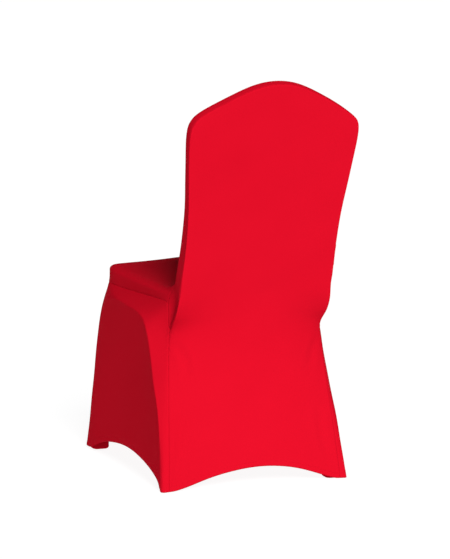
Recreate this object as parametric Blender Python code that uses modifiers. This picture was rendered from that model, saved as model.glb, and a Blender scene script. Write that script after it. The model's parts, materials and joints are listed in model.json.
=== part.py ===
# Stretch cover for a stacking banquet chair with a crowned back.
#
# The cover is one skin of thin stretched cloth, cut and sewn from six panels, with a small
# pocket under each foot. Metres, +Z up. The backrest is at +Y, the seat's front edge at -Y,
# and the sitter's left is +X. The finished part stands with the middle of its box at x = y = 0
# and the foot pockets' soles at z = 0.
#
# A coarse cage of the whole skin is lofted between the section tables below, smoothed,
# thickened as one skin, and then divided into its panels along the seams.

import bmesh
import bpy
import math
import numpy as np

# Cloth.
CLOTH_THICKNESS = 0.0020
SEAM_GAP = 0.00034          # open width of each seam between two panels
SMOOTHING_LEVELS = 1
MERGE_DISTANCE = 0.00005    # cage points closer than this are one point
FOLD_SHARPNESS = 0.5        # how crisp the fold along the side web's edge stays
SEAT_SEAM_SHARPNESS = 0.6   # the same for the seat's side seams
SHARPEST_MITRE = 0.4        # least cosine that a seam corner's mitre is worked out with
CLOTH_COLOUR = (0.75, 0.004, 0.02)
CLOTH_ROUGHNESS = 0.45

# Backrest: its rear face is a plane that leans to the rear.
REST_LEAN = 0.300           # rise of y for each metre of height
REST_Y = 0.2518             # the plane's y at REST_Z
REST_Z = 0.450

# Columns of every panel that meets the centre line: fractions of the half width.
COLUMNS = (0.0, 0.27, 0.54, 0.79, 0.95, 1.0)

# Back panel, one row for each section from the hem up to the shoulder corner.
# seam_x, seam_y, seam_z: a point of the side seam. mid_z: height of the centre line there.
# A seam_y of None lies on the backrest's plane.
BACK_ROWS = (
    # seam_x, seam_y, seam_z, mid_z
    (0.2140, 0.2520, 0.0020, 0.0455),
    (0.2120, 0.2460, 0.0450, 0.0850),
    (0.2080, 0.2330, 0.1100, 0.1450),
    (0.2040, 0.2190, 0.1800, 0.2100),
    (0.1990, 0.2040, 0.2500, 0.2720),
    (0.1950, 0.1900, 0.3100, 0.3250),
    (0.1900, 0.1830, 0.3680, 0.3720),
    (0.1945, 0.2280, 0.3960, 0.4030),
    (0.1945, 0.2480, 0.4280, 0.4330),
    (0.1930, 0.2513, 0.4480, 0.4500),
    (0.1915, None, 0.4650, 0.4680),
    (0.1905, None, 0.5300, 0.5350),
    (0.1905, None, 0.6100, 0.6300),
    (0.1970, None, 0.7000, 0.7400),
    (0.2070, None, 0.7900, 0.8500),
    (0.2080, None, 0.8450, 0.9395),
    (0.1990, None, 0.8615, 0.9500),
)
HEM_MID_Y = 0.2480          # the rear hem at the centre line
LOWEST_REST_ROW = 9         # from here up the cloth lies on the backrest
RELAX_ROUNDS = 400          # rounds that settle the free cloth below it
JUNCTION_ROW = 6            # where back, inside back and side panels meet
VALLEY_ROW = 10             # level of the fold between seat and backrest

# Crown, one row for each column: half width, and the seam's height on the sitter's left
# and right.
CROWN = (
    (0.0000, 0.9500, 0.9500),
    (0.0545, 0.9425, 0.9415),
    (0.1110, 0.9170, 0.9140),
    (0.1640, 0.8910, 0.8840),
    (0.1900, 0.8745, 0.8660),
    (0.1990, 0.8615, 0.8615),
)

# Rear hem, one row for each column: height on the sitter's left and right.
REAR_HEM = (
    (0.0455, 0.0455),
    (0.0390, 0.0435),
    (0.0275, 0.0330),
    (0.0095, 0.0135),
    (0.0018, 0.0020),
    (0.0020, 0.0020),
)

# Backrest edge and front face, one row for each section from the valley up to the crown.
# rim: depth of the edge strip, mid_depth: depth of the backrest at the centre line,
# overhang: how far the rim stands out beyond the seam.
REST_DEPTHS = (
    # rim, mid_depth, overhang
    (0.0580, 0.0560, 0.0000),
    (0.0500, 0.0570, 0.0000),
    (0.0400, 0.0560, 0.0010),
    (0.0300, 0.0500, 0.0025),
    (0.0260, 0.0400, 0.0040),
    (0.0250, 0.0290, 0.0050),
    (0.0250, 0.0260, 0.0050),
)
RIM_LOOPS = (
    # share of the rim's depth, inset from the overhang's outline
    (0.32, 0.0010),
    (0.80, 0.0050),
    (1.00, 0.0140),
)

# Fold between seat and backrest, and the tail of the inside back below it.
VALLEY_MID = (0.0, 0.2000, 0.4680)
VALLEY_END = (0.1780, 0.1970, 0.4680)
TAIL_ROWS = (
    # first loop x, y, z, second loop x, y, z
    (0.1895, 0.2360, 0.4660, 0.1865, 0.2040, 0.4670),
    (0.1830, 0.2290, 0.4480, 0.1750, 0.1970, 0.4490),
    (0.1820, 0.2200, 0.4310, 0.1740, 0.1920, 0.4330),
    (0.1865, 0.2070, 0.4010, 0.1830, 0.1920, 0.4020),
)

# Seat, one row for each station of its lower seam from the rear corner to the front corner.
# x, y, z: the seam. mid_y, mid_z: the seat's centre line at that station.
SEAT_ROWS = (
    # x, y, z, mid_y, mid_z
    (0.1870, 0.1760, 0.4350, 0.2000, 0.4680),
    (0.1910, 0.1150, 0.4345, 0.1450, 0.4740),
    (0.1945, 0.0550, 0.4335, 0.0850, 0.4785),
    (0.1980, -0.0050, 0.4325, 0.0200, 0.4835),
    (0.2015, -0.0650, 0.4320, -0.0450, 0.4892),
    (0.2045, -0.1250, 0.4320, -0.1100, 0.4945),
    (0.2060, -0.1800, 0.4330, -0.1750, 0.4955),
    (0.1970, -0.2160, 0.4375, -0.2240, 0.4785),
)
SEAT_FRONT_Y = (-0.2385, -0.2380, -0.2365, -0.2330, -0.2260, -0.2160)
SEAT_FRONT_SEAM_Z = 0.4375
BAND_TOP_FRONT = 0.4680     # height of the side band's top edge at the front
BAND_TOP_REAR = 0.4530
BAND_BULGE = 0.0005
BAND_END = (0.1850, 0.1860, 0.4530)
SEAT_ROLL = 0.0130          # rounding of the seat's top edge
SEAT_ROLL_RISE = 0.0090

# Side panel, one row for each station round the chair's side frame, from the front hem over
# the seat's side to the rear hem. The seam itself comes from the neighbouring panels.
# pull: how much further out and to the rear the crease stands on the sitter's left.
SIDE_FRAME = (
    # edge x, y, z, crease x, y, z, pull
    (0.2195, -0.3380, 0.0065, 0.2210, -0.3180, 0.0060, 0.0000),
    (0.2195, -0.3240, 0.0500, 0.2215, -0.3000, 0.0520, 0.0000),
    (0.2200, -0.3030, 0.1200, 0.2215, -0.2780, 0.1220, 0.0000),
    (0.2195, -0.2820, 0.1900, 0.2210, -0.2560, 0.1920, 0.0000),
    (0.2190, -0.2650, 0.2600, 0.2205, -0.2380, 0.2620, 0.0000),
    (0.2185, -0.2500, 0.3200, 0.2200, -0.2200, 0.3220, 0.0000),
    (0.2165, -0.2260, 0.3720, 0.2190, -0.1960, 0.3680, 0.0010),
    (0.2125, -0.1990, 0.4120, 0.2180, -0.1660, 0.3980, 0.0060),
    (0.2150, -0.1600, 0.4190, 0.2175, -0.1300, 0.4060, 0.0140),
    (0.2140, -0.1120, 0.4180, 0.2175, -0.0950, 0.4055, 0.0200),
    (0.2125, -0.0580, 0.4160, 0.2175, -0.0500, 0.4020, 0.0240),
    (0.2110, -0.0040, 0.4145, 0.2175, -0.0030, 0.3990, 0.0260),
    (0.2090, 0.0480, 0.4125, 0.2175, 0.0400, 0.3960, 0.0280),
    (0.2060, 0.0950, 0.4105, 0.2175, 0.0730, 0.3890, 0.0280),
    (0.2020, 0.1380, 0.4030, 0.2190, 0.0970, 0.3750, 0.0280),
    (0.1995, 0.1540, 0.3800, 0.2190, 0.1140, 0.3570, 0.0260),
    (0.1985, 0.1660, 0.3520, 0.2190, 0.1280, 0.3300, 0.0240),
    (0.1995, 0.1780, 0.3050, 0.2193, 0.1390, 0.2980, 0.0220),
    (0.2050, 0.1940, 0.2480, 0.2205, 0.1600, 0.2450, 0.0180),
    (0.2130, 0.2110, 0.1800, 0.2225, 0.1970, 0.1780, 0.0100),
    (0.2215, 0.2285, 0.1100, 0.2265, 0.2190, 0.1100, 0.0040),
    (0.2290, 0.2430, 0.0450, 0.2312, 0.2320, 0.0450, 0.0010),
    (0.2325, 0.2505, 0.0022, 0.2345, 0.2395, 0.0025, 0.0000),
)
PULL_WAY = (0.366, 0.922, 0.130)    # direction of the pull
PULL_ON_EDGE = 0.3          # share of the pull that reaches the edge
FRONT_STATIONS = 7          # rows up the front leg
TOP_STATIONS = 8            # rows along the seat's side
SIDE_FOLD_POINT = (0.1895, 0.1800, 0.4050)  # seam between the seat's rear corner and junction

# Side hem, one row for each station from the front crease to the rear crease.
SIDE_HEM = (
    # x, y, z
    (0.2210, -0.3180, 0.0060),
    (0.2225, -0.2870, 0.0070),
    (0.2215, -0.2150, 0.0360),
    (0.2210, -0.1250, 0.0520),
    (0.2220, -0.0300, 0.0600),
    (0.2240, 0.0600, 0.0540),
    (0.2275, 0.1420, 0.0430),
    (0.2325, 0.2080, 0.0200),
    (0.2345, 0.2395, 0.0025),
)

# Front skirt, one row for each station of its side seam up the front leg.
FRONT_ROWS = (
    # seam_x, seam_y, seam_z, mid_y, mid_z
    (0.2035, -0.3400, 0.0060, -0.3320, 0.0450),
    (0.2030, -0.3270, 0.0500, -0.3180, 0.0900),
    (0.2025, -0.3060, 0.1200, -0.3000, 0.1500),
    (0.2020, -0.2850, 0.1900, -0.2820, 0.2150),
    (0.2015, -0.2690, 0.2600, -0.2670, 0.2800),
    (0.2010, -0.2560, 0.3200, -0.2550, 0.3350),
    (0.2005, -0.2400, 0.3750, -0.2450, 0.3850),
    (0.1970, -0.2160, 0.4375, -0.2385, 0.4375),
)
FRONT_HEM_Z = (0.0450, 0.0420, 0.0320, 0.0125, 0.0060, 0.0060)

# Foot pockets: a small open cup of cloth under each foot.
CUP_SIZE = 0.0430
CUP_HEIGHT = 0.0200
CUP_WALL = 0.0015
CUP_ROUNDING = 0.0040
CUP_ROUNDING_STEPS = 3
CUP_SHARP_ANGLE = math.radians(40)
REAR_CUP = (0.2059, 0.2235)   # centre of the rear left cup
FRONT_CUP = (0.1938, -0.3087)

PANELS = (
    "back_panel",
    "inside_back",
    "seat_panel",
    "side_panel_left",
    "side_panel_right",
    "front_skirt",
)
BACK, INSIDE, SEAT, SIDE_LEFT, SIDE_RIGHT, FRONT = range(len(PANELS))


def rest_y(height):
    """y of the backrest's rear plane at a height."""
    return REST_Y + REST_LEAN * (height - REST_Z)


def relaxed(grid, rows):
    """Draws y of the inner points in the given rows to where their neighbours hold it.

    A free stretched skin lies at the mean of what surrounds it, the nearer neighbours
    counting more.
    """
    for _ in range(RELAX_ROUNDS):
        for row in rows:
            for column in range(1, grid.shape[1] - 1):
                here = grid[row, column]
                total = 0.0
                weight = 0.0
                for first, second in (
                    (grid[row, column - 1], grid[row, column + 1]),
                    (grid[row - 1, column], grid[row + 1, column]),
                ):
                    reach_first = math.hypot(first[0] - here[0], first[2] - here[2])
                    reach_second = math.hypot(second[0] - here[0], second[2] - here[2])
                    for point, reach in ((first, reach_first), (second, reach_second)):
                        share = 1.0 / (reach * (reach_first + reach_second))
                        total += share * point[1]
                        weight += share
                here[1] = total / weight
    return grid


def rest_forward():
    """Unit vector from the backrest's rear face straight to its front face."""
    length = math.hypot(1.0, REST_LEAN)
    return np.array((0.0, -1.0 / length, REST_LEAN / length))


def on_rest(x, y, z):
    """A point whose y may be left to the backrest's plane."""
    return np.array((x, rest_y(z) if y is None else y, z))


def coons(bottom, top, left, right, across, up):
    """Grid of points between four boundary rows, as rows of columns from bottom to top."""
    bottom, top, left, right = (np.asarray(side, dtype=float) for side in (bottom, top, left, right))
    grid = np.zeros((len(up), len(across), 3))
    for row, v in enumerate(up):
        for column, u in enumerate(across):
            corners = ((1 - u) * (1 - v) * bottom[0] + u * (1 - v) * bottom[-1]
                       + (1 - u) * v * top[0] + u * v * top[-1])
            grid[row, column] = ((1 - v) * bottom[column] + v * top[column]
                                 + (1 - u) * left[row] + u * right[row] - corners)
    grid[0], grid[-1], grid[:, 0], grid[:, -1] = bottom, top, left, right
    return grid


def shares(points):
    """Running length along a row of points, from 0 to 1."""
    steps = np.linalg.norm(np.diff(np.asarray(points), axis=0), axis=1)
    run = np.concatenate(((0.0,), np.cumsum(steps)))
    return run / run[-1]


def inset_loop(points, depth, normal):
    """Copies of a row that ends on the centre line, each moved by depth across the row.

    The row runs up or forward on the sitter's left, and the points move inward from it. The
    depth is one length, or a column of them.
    """
    points = np.asarray(points, dtype=float)
    around = np.concatenate((points[:1], points, mirrored(points[-2])[None]))
    along = around[2:] - around[:-2]
    along /= np.linalg.norm(along, axis=1, keepdims=True)
    return points + depth * np.cross(along, normal)


def mirrored(point):
    """The same point on the other side of the centre line."""
    return np.asarray(point) * np.array((-1.0, 1.0, 1.0))


def crown_line(hand):
    """Seam of the crown from the centre line to the shoulder corner. hand: 0 left, 1 right."""
    return [on_rest(row[0], None, row[1 + hand]) for row in CROWN]


def back_grid():
    """Back panel from the hem up to the crown, from the right seam to the left seam."""
    seam = [on_rest(x, y, z) for x, y, z, _ in BACK_ROWS]
    middle = [on_rest(0.0, None, row[3]) for row in BACK_ROWS]
    middle[0][1] = HEM_MID_Y
    heights = np.array([point[2] for point in middle])
    up = (heights - heights[0]) / (heights[-1] - heights[0])
    halves = []
    for hand in (0, 1):
        hem = []
        for share, hem_heights in zip(COLUMNS, REAR_HEM):
            y = (1 - share) * middle[0][1] + share * seam[0][1]
            hem.append(np.array((share * seam[0][0], y, hem_heights[hand])))
        halves.append(coons(hem, crown_line(hand), middle, seam, COLUMNS, up))
    left, right = halves
    whole = np.concatenate((mirrored(right[:, :0:-1]), left), axis=1)
    return relaxed(whole, range(1, LOWEST_REST_ROW))


def rim_outline(hand):
    """Seam of the backrest from the valley's level up to the corner, then along the crown."""
    side = [on_rest(x, y, z) for x, y, z, _ in BACK_ROWS[VALLEY_ROW:]]
    return np.array(side + crown_line(hand)[-2::-1])


def rim_loops(hand):
    """Seam, two loops of the rim and its front edge, each from the valley to the crown's middle."""
    outline = rim_outline(hand)
    last = REST_DEPTHS[-1:] * (len(outline) - len(REST_DEPTHS))
    rims, _, overhangs = np.array(REST_DEPTHS + last).T
    forward = rest_forward()
    loops = [outline]
    for share, inset in RIM_LOOPS:
        loop = inset_loop(outline, (inset - overhangs)[:, None], -forward)
        loop += forward * (share * rims)[:, None]
        loop[-1, 0] = 0.0
        loops.append(loop)
    loops[1][0] = TAIL_ROWS[0][:3]
    loops[2][0] = TAIL_ROWS[0][3:]
    loops[3][0] = VALLEY_END
    return np.array(loops)


def inside_grid(edge):
    """Front face of the backrest from the valley up to the crown, centre line to rim."""
    rows = len(REST_DEPTHS)
    side = edge[:rows]
    top = edge[rows - 1:][::-1]
    forward = rest_forward()
    middle = [np.array(VALLEY_MID)]
    for (_, depth, _), row in zip(REST_DEPTHS[1:], BACK_ROWS[VALLEY_ROW + 1:]):
        middle.append(on_rest(0.0, None, row[3]) + forward * depth)
    middle[-1] = top[0]
    valley = [(1 - share) * np.array(VALLEY_MID) + share * np.array(VALLEY_END) for share in COLUMNS]
    return coons(valley, top, middle, side, COLUMNS, shares(middle))


def tail_grid():
    """The inside back's tail, from the valley's level down to the junction."""
    seam = [on_rest(*BACK_ROWS[row][:3]) for row in range(VALLEY_ROW, JUNCTION_ROW, -1)]
    fold = (VALLEY_END, BAND_END, seat_seam()[0], SIDE_FOLD_POINT)
    grid = []
    for outer, loops, inner in zip(seam, TAIL_ROWS, fold):
        grid.append((outer, np.array(loops[:3]), np.array(loops[3:]), np.array(inner)))
    return np.array(grid)


def junction():
    """Point where the back panel, the inside back and a side panel meet."""
    return on_rest(*BACK_ROWS[JUNCTION_ROW][:3])


def seat_seam():
    """Lower seam of the seat along its side, from the rear corner to the front corner."""
    return np.array([row[:3] for row in SEAT_ROWS])


def seat_front():
    """Lower seam of the seat along its front, from the centre line to the corner."""
    width = SEAT_ROWS[-1][0]
    return np.array([(share * width, y, SEAT_FRONT_SEAM_Z)
                     for share, y in zip(COLUMNS, SEAT_FRONT_Y)])


def seat_loops():
    """Seam, top edge of the band and inner edge of the roll, rear corner to the front's middle."""
    outline = np.concatenate((seat_seam(), seat_front()[-2::-1]))
    upward = np.array((0.0, 0.0, 1.0))
    band = inset_loop(outline, -BAND_BULGE, upward)
    roll = inset_loop(outline, SEAT_ROLL, upward)
    slope = (BAND_TOP_REAR - BAND_TOP_FRONT) / (outline[0, 1] - outline[-1, 1])
    for row in range(len(outline)):
        band[row, 2] = BAND_TOP_FRONT + slope * (outline[row, 1] - outline[-1, 1])
        roll[row, 2] = band[row, 2] + SEAT_ROLL_RISE
    band[0] = BAND_END
    roll[0] = VALLEY_END
    band[-1, 0] = roll[-1, 0] = 0.0
    return np.array((outline, band, roll))


def seat_grid(roll):
    """Top of the seat from the valley to the front, centre line to roll."""
    rows = len(SEAT_ROWS)
    side = roll[:rows]
    front = roll[rows - 1:][::-1]
    middle = [np.array((0.0, y, z)) for *_, y, z in SEAT_ROWS]
    middle[-1] = front[0]
    valley = [(1 - share) * np.array(VALLEY_MID) + share * np.array(VALLEY_END) for share in COLUMNS]
    return coons(valley, front, middle, side, COLUMNS, shares(middle))


def side_loops(side):
    """Seam, outer edge and crease of one side frame, from the front hem over to the rear hem."""
    front = [np.array(row[:3]) for row in FRONT_ROWS]
    along = list(seat_seam()[-2::-1])
    rear = [on_rest(*row[:3]) for row in BACK_ROWS[JUNCTION_ROW::-1]]
    seam = front + along + [np.array(SIDE_FOLD_POINT)] + rear
    frame = np.array(SIDE_FRAME)
    edge, crease = frame[:, :3], frame[:, 3:6]
    if side == 1:
        pull = frame[:, 6:] * np.array(PULL_WAY)
        edge = edge + PULL_ON_EDGE * pull
        crease = crease + pull
    return np.array((seam, edge, crease))


def web_grid(crease):
    """Side web from the hem up to the crease, front to rear."""
    front = crease[:FRONT_STATIONS + 1]
    top = crease[FRONT_STATIONS:FRONT_STATIONS + TOP_STATIONS + 1]
    rear = crease[FRONT_STATIONS + TOP_STATIONS:][::-1]
    hem = np.array(SIDE_HEM)
    return coons(hem, top, front, rear, shares(hem), shares(front))


def front_grid():
    """Front skirt from the hem up to the seat's seam, centre line to side seam."""
    seam = [np.array(row[:3]) for row in FRONT_ROWS]
    middle = [np.array((0.0, row[3], row[4])) for row in FRONT_ROWS]
    hem = []
    for share, z in zip(COLUMNS, FRONT_HEM_Z):
        y = (1 - share) * middle[0][1] + share * seam[0][1]
        hem.append(np.array((share * seam[0][0], y, z)))
    return coons(hem, seat_front(), middle, seam, COLUMNS, shares(middle))


def add_grid(cage, grid, panel, side):
    """Adds a grid of four-sided faces, mirrored when side is -1."""
    rows = []
    for row in grid:
        rows.append([cage.verts.new((side * x, y, z)) for x, y, z in row])
    for lower, upper in zip(rows, rows[1:]):
        for corners in zip(lower, lower[1:], upper[1:], upper):
            face = cage.faces.new(corners)
            face.material_index = panel


def place_key(x, y, z):
    """Key of a place, the same for all cage points that are merged there."""
    return round(x, 5), round(y, 5), round(z, 5)


def sharpen(cage, folds):
    """Keeps the cage's edges along the given rows crisp. folds: rows with their sharpness."""
    weights = {}
    for row, sharpness in folds:
        keys = [place_key(*point) for point in row]
        for first, second in zip(keys, keys[1:]):
            weights[first, second] = weights[second, first] = sharpness
    layer = cage.edges.layers.float.new("crease_edge")
    for edge in cage.edges:
        first, second = (place_key(*vert.co) for vert in edge.verts)
        edge[layer] = weights.get((first, second), 0.0)


def add_tail_tip(cage, last_row, tip, panel, side):
    """Closes the tail's last row onto the junction with three-sided faces."""
    row = [cage.verts.new((side * x, y, z)) for x, y, z in last_row]
    point = cage.verts.new((side * tip[0], tip[1], tip[2]))
    for first, second in zip(row, row[1:]):
        face = cage.faces.new((first, second, point))
        face.material_index = panel


def skin_cage():
    """Mesh of the whole skin's coarse cage, each face marked with its panel."""
    cage = bmesh.new()
    seats = seat_loops()
    tail = tail_grid()
    add_grid(cage, back_grid(), BACK, 1)
    folds = []
    for hand, side, side_panel in ((0, 1, SIDE_LEFT), (1, -1, SIDE_RIGHT)):
        rims = rim_loops(hand)
        sides = side_loops(side)
        add_grid(cage, rims, INSIDE, side)
        add_grid(cage, inside_grid(rims[-1]), INSIDE, side)
        add_grid(cage, tail, INSIDE, side)
        add_tail_tip(cage, tail[-1], junction(), INSIDE, side)
        add_grid(cage, seats, SEAT, side)
        add_grid(cage, seat_grid(seats[-1]), SEAT, side)
        add_grid(cage, sides, side_panel, side)
        add_grid(cage, web_grid(sides[-1]), side_panel, side)
        add_grid(cage, front_grid(), FRONT, side)
        hand_way = np.array((side, 1.0, 1.0))
        folds.append((sides[-1] * hand_way, FOLD_SHARPNESS))
        folds.append((seat_seam() * hand_way, SEAT_SEAM_SHARPNESS))
    bmesh.ops.remove_doubles(cage, verts=cage.verts, dist=MERGE_DISTANCE)
    sharpen(cage, folds)
    bmesh.ops.recalc_face_normals(cage, faces=cage.faces)
    rear = sum(face.normal.y for face in cage.faces if face.material_index == BACK)
    if rear < 0:
        bmesh.ops.reverse_faces(cage, faces=cage.faces)
    mesh = bpy.data.meshes.new("skin_cage")
    cage.to_mesh(mesh)
    cage.free()
    return mesh


def thick_skin():
    """The whole skin smoothed and thickened inward, as one mesh, and its outer point count."""
    skin = bpy.data.objects.new("skin", skin_cage())
    bpy.context.scene.collection.objects.link(skin)
    smooth = skin.modifiers.new("smooth", "SUBSURF")
    smooth.levels = SMOOTHING_LEVELS
    smooth.render_levels = SMOOTHING_LEVELS
    graph = bpy.context.evaluated_depsgraph_get()
    outer_count = len(skin.evaluated_get(graph).data.vertices)
    thick = skin.modifiers.new("thick", "SOLIDIFY")
    thick.thickness = CLOTH_THICKNESS
    thick.offset = -1.0
    thick.use_even_offset = True
    graph = bpy.context.evaluated_depsgraph_get()
    mesh = bpy.data.meshes.new_from_object(skin.evaluated_get(graph))
    bpy.data.objects.remove(skin)
    return mesh, outer_count


def seam_shift(vert, inner, seam_edges):
    """Move that draws a panel's point back from its seams by half the seam's gap."""
    through = (inner.co - vert.co).normalized()
    inward = []
    for edge in seam_edges:
        face = edge.link_faces[0]
        along = (edge.verts[1].co - edge.verts[0].co).normalized()
        away = face.normal.cross(along)
        if away.dot(face.calc_center_median() - vert.co) < 0:
            away.negate()
        plane = through.cross(along).normalized()
        if plane.dot(away) < 0:
            plane.negate()
        inward.append((away, plane))
    direction = sum((away for away, _ in inward), start=inward[0][0] * 0.0).normalized()
    reach = max(1.0 / max(direction.dot(plane), SHARPEST_MITRE) for _, plane in inward)
    return direction * (reach * SEAM_GAP / 2)


def build_panel(skin, outer_count, panel, collection):
    """Cuts one panel out of the skin and closes it with a narrow rim along its seams."""
    body = bmesh.new()
    body.from_mesh(skin)
    body.verts.ensure_lookup_table()
    partner = {}
    for index in range(outer_count):
        partner[body.verts[index]] = body.verts[index + outer_count]
    others = [face for face in body.faces if face.material_index != panel]
    bmesh.ops.delete(body, geom=others, context="FACES_ONLY")
    cut = [edge for edge in body.edges if edge.is_boundary and edge.verts[0] in partner
           and edge.verts[1] in partner]
    at_seam = {}
    for edge in cut:
        for vert in edge.verts:
            at_seam.setdefault(vert, []).append(edge)
    moves = {vert: seam_shift(vert, partner[vert], edges) for vert, edges in at_seam.items()}
    for edge in cut:
        first, second = edge.verts
        body.faces.new((first, second, partner[second], partner[first]))
    for vert, move in moves.items():
        vert.co += move
        partner[vert].co += move
    loose = [vert for vert in body.verts if not vert.link_faces]
    bmesh.ops.delete(body, geom=loose, context="VERTS")
    bmesh.ops.recalc_face_normals(body, faces=body.faces)
    for face in body.faces:
        face.material_index = 0
    name = PANELS[panel]
    mesh = bpy.data.meshes.new(name)
    body.to_mesh(mesh)
    body.free()
    mesh.shade_smooth()
    part = bpy.data.objects.new(name, mesh)
    collection.objects.link(part)
    return part


def build_cup(name, centre, side, collection, cutters):
    """A small open cup of cloth with rounded corners."""
    shapes = []
    for label, size, bottom, top, home in (
        (name, CUP_SIZE, 0.0, CUP_HEIGHT, collection),
        (name + "_hollow", CUP_SIZE - 2 * CUP_WALL, CUP_WALL, CUP_HEIGHT + CUP_WALL, cutters),
    ):
        mesh = bpy.data.meshes.new(label)
        box = bmesh.new()
        bmesh.ops.create_cube(box, size=1.0)
        for vert in box.verts:
            vert.co.x = side * centre[0] + size * vert.co.x
            vert.co.y = centre[1] + size * vert.co.y
            vert.co.z = bottom if vert.co.z < 0 else top
        upright = [edge for edge in box.edges if edge.verts[0].co.z != edge.verts[1].co.z]
        bmesh.ops.bevel(box, geom=upright, offset=CUP_ROUNDING, segments=CUP_ROUNDING_STEPS,
                        profile=0.5, affect="EDGES")
        box.to_mesh(mesh)
        box.free()
        shape = bpy.data.objects.new(label, mesh)
        home.objects.link(shape)
        shapes.append(shape)
    cup, hollow = shapes
    hollow.hide_render = True
    hollow.display_type = "WIRE"
    cut = cup.modifiers.new("hollow", "BOOLEAN")
    cut.operation = "DIFFERENCE"
    cut.object = hollow
    cup.data.shade_smooth()
    cup.data.set_sharp_from_angle(angle=CUP_SHARP_ANGLE)
    return cup


def cloth_material(name):
    """Satin stretch cloth."""
    material = bpy.data.materials.new(name)
    material.use_nodes = True
    shader = material.node_tree.nodes["Principled BSDF"]
    shader.inputs["Base Color"].default_value = (*CLOTH_COLOUR, 1.0)
    shader.inputs["Roughness"].default_value = CLOTH_ROUGHNESS
    shader.inputs["Metallic"].default_value = 0.0
    return material


def main():
    """Builds the cover."""
    for old in list(bpy.data.objects):
        bpy.data.objects.remove(old)
    cover = bpy.data.collections.new("chair_cover")
    cutters = bpy.data.collections.new("cutters")
    for collection in (cover, cutters):
        bpy.context.scene.collection.children.link(collection)

    skin, outer_count = thick_skin()
    parts = [build_panel(skin, outer_count, panel, cover) for panel in range(len(PANELS))]
    bpy.data.meshes.remove(skin)
    for place, centre in (("rear", REAR_CUP), ("front", FRONT_CUP)):
        for hand, side in (("left", 1), ("right", -1)):
            name = "foot_pocket_" + place + "_" + hand
            parts.append(build_cup(name, centre, side, cover, cutters))
    for part in parts:
        part.data.materials.clear()
        part.data.materials.append(cloth_material(part.name + "_cloth"))

    corners = [vert.co for part in parts for vert in part.data.vertices]
    middle_x = (min(c.x for c in corners) + max(c.x for c in corners)) / 2
    middle_y = (min(c.y for c in corners) + max(c.y for c in corners)) / 2
    for part in list(cover.objects) + list(cutters.objects):
        for vert in part.data.vertices:
            vert.co.x -= middle_x
            vert.co.y -= middle_y


main()
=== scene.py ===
"""Looks of a red stretch cover for a stacking banquet chair with a crowned back.

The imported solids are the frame.  The same skin is laid again from the section tables below,
finer and thinner, gets its seams, hems, puckers and tension folds, and is cut into its panels.
Metres, +Z up.  The backrest is at +Y, the seat's front edge at -Y, the sitter's left at +X.
"""

from __future__ import annotations

import json
import logging
import math
from contextlib import contextmanager
from dataclasses import dataclass
from enum import Enum
from typing import Callable, Iterator, Sequence

import bpy
import numpy as np
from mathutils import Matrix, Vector
from mathutils.kdtree import KDTree

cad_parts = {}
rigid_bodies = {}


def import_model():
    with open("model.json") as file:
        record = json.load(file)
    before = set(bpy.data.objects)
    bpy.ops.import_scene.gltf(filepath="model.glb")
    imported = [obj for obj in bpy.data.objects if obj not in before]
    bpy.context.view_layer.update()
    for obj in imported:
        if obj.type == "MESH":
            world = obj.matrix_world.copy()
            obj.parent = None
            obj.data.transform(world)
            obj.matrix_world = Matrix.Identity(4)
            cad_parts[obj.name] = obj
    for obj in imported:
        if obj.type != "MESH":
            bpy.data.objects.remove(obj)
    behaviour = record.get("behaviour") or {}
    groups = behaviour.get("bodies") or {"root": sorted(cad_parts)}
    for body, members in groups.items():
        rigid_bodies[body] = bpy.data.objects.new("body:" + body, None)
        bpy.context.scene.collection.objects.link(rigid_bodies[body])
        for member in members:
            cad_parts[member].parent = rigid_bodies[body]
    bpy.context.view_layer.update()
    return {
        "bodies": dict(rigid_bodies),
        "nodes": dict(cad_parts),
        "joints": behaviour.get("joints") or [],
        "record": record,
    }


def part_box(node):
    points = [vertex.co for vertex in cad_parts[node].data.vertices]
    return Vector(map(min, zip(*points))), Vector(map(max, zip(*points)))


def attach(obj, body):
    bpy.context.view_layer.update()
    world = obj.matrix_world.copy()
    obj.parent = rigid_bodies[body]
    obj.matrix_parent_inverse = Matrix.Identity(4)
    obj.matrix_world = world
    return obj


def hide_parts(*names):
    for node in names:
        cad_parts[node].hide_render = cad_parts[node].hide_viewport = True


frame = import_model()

log = logging.getLogger("chair_cover")

FRAME_SHIFT_Y = -0.03036        # from the tables' own zero to the frame's
PHOTO_HEIGHT = 559              # pixels of the photograph's long side
MERGE = 0.00005                 # points that are closer than this are one
DECIMALS = 5                    # of a metre, by which the merged cage's points are told apart
TINY = 1e-12                    # least length to divide by
HEM_HEIGHT = 0.0130             # of the turned-in hem
STITCH_LINE = 0.85              # where the hem is stitched, as a share of its height
WAVE_TURN = 20.0                # radians a metre of a wave texture at scale 1
WHITE = (1.0, 1.0, 1.0, 1.0)

Row = tuple[float, ...]
Points = Sequence[np.ndarray] | np.ndarray


class Panel(Enum):
    """The stretched panels, by the solid that each stands for."""

    BACK = "back_panel"
    INSIDE = "inside_back"
    SEAT = "seat_panel"
    SIDE_LEFT = "side_panel_left"
    SIDE_RIGHT = "side_panel_right"
    FRONT = "front_skirt"


PANELS = tuple(Panel)


class Kind(Enum):
    """What is selected in edit mode."""

    EDGES = "edges"
    FACES = "faces"


class Edge(Enum):
    """How a panel's edge ends."""

    SEAM = "sewn to its neighbour"
    HEM = "turned in and stitched"


def mirrored(point: np.ndarray) -> np.ndarray:
    """The same point on the other side of the centre line."""
    return np.asarray(point) * np.array((-1.0, 1.0, 1.0))


def in_frame(points: np.ndarray, side: int) -> np.ndarray:
    """The tables' points on this side of the centre line, in the frame."""
    return points * np.array((side, 1.0, 1.0)) + np.array((0.0, FRAME_SHIFT_Y, 0.0))


def unit(vectors: np.ndarray) -> np.ndarray:
    """The vectors at length 1."""
    return vectors / np.maximum(np.linalg.norm(vectors, axis=-1, keepdims=True), TINY)


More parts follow.
